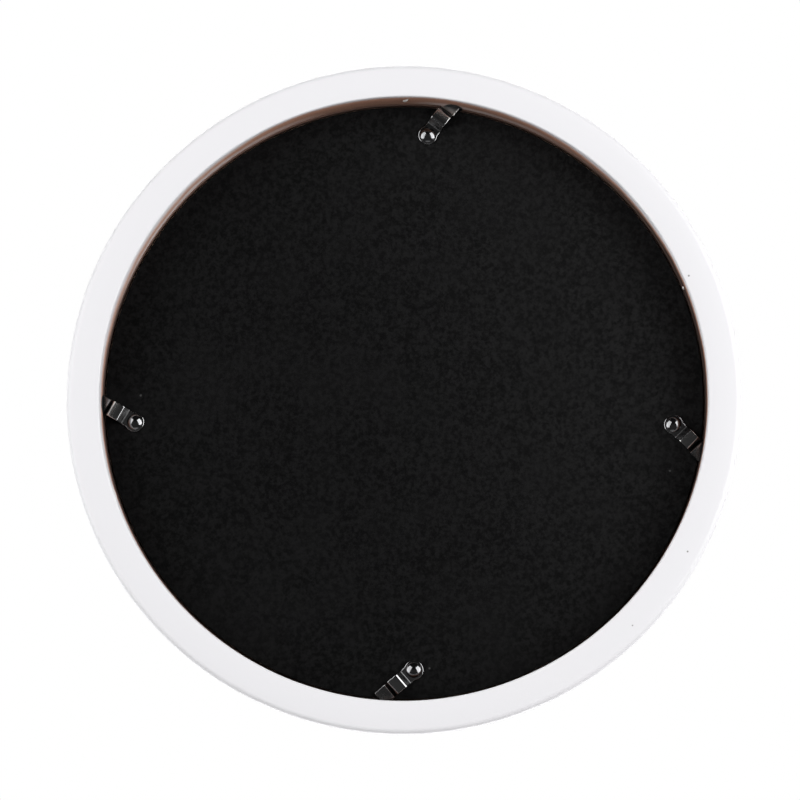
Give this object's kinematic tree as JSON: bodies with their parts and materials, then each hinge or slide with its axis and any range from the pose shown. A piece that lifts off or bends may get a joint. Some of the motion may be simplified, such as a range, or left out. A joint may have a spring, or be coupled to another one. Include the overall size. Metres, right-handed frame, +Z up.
{
  "type": "round photo frame",
  "caption": "Round white photo frame with glass, a blank photo and a black backing board held in its rabbet by riveted swivel clips.",
  "frame": {"origin": "on the ring's axis, in the plane of its back face, which is the plane of the wall it hangs on", "axes": "+Y out of the back, towards the wall; -Y out of the front, towards the room; +Z up as it hangs; +X to the viewer's left seen from behind"},
  "size_m": [0.2838, 0.025, 0.2838],
  "materials": {
    "white_paint": "smooth satin white paint on fibreboard, raw and oversprayed inside the rabbet",
    "clear_glass": "clear float glass",
    "blank_paper": "blank resin-coated photo paper",
    "fibreboard": "raw hard fibreboard",
    "black_paper": "matte black paper with a fine grain",
    "black_strip": "black oxide strip steel, satin",
    "black_rivet": "glossy black lacquer",
    "washer_steel": "bare zinc-plated"
  },
  "bodies": {
    "framed_back": {"frame_ring": "white_paint", "glass_pane": "clear_glass", "photo_insert": "blank_paper", "backing_board": "fibreboard", "board_facing": "black_paper", "rivet_left": "black_rivet", "rivet_top": "black_rivet", "rivet_right": "black_rivet", "rivet_bottom": "black_rivet", "rivet_washer_left": "washer_steel", "rivet_washer_top": "washer_steel", "rivet_washer_right": "washer_steel", "rivet_washer_bottom": "washer_steel"},
    "clip_left": {"swivel_clip_left": "black_strip"},
    "clip_top": {"swivel_clip_top": "black_strip"},
    "clip_right": {"swivel_clip_right": "black_strip"},
    "clip_bottom": {"swivel_clip_bottom": "black_strip"}
  },
  "joints": [
    {"name": "clip_left_swivel", "type": "hinge", "parent": "framed_back", "child": "clip_left", "pos_m": [0.11456, -0.0153, -0.01002], "axis": [0, -1, 0], "range_deg": [-2.5, 293.5]},
    {"name": "clip_top_swivel", "type": "hinge", "parent": "framed_back", "child": "clip_top", "pos_m": [-0.01002, -0.0153, 0.11456], "axis": [0, -1, 0], "range_deg": [-1.7, 294.3]},
    {"name": "clip_right_swivel", "type": "hinge", "parent": "framed_back", "child": "clip_right", "pos_m": [-0.11447, -0.0153, -0.01102], "axis": [0, -1, 0], "range_deg": [-8.8, 287.2]},
    {"name": "clip_bottom_swivel", "type": "hinge", "parent": "framed_back", "child": "clip_bottom", "pos_m": [-0.00462, -0.0153, -0.11491], "axis": [0, -1, 0], "range_deg": [-19.4, 276.6]}
  ]
}
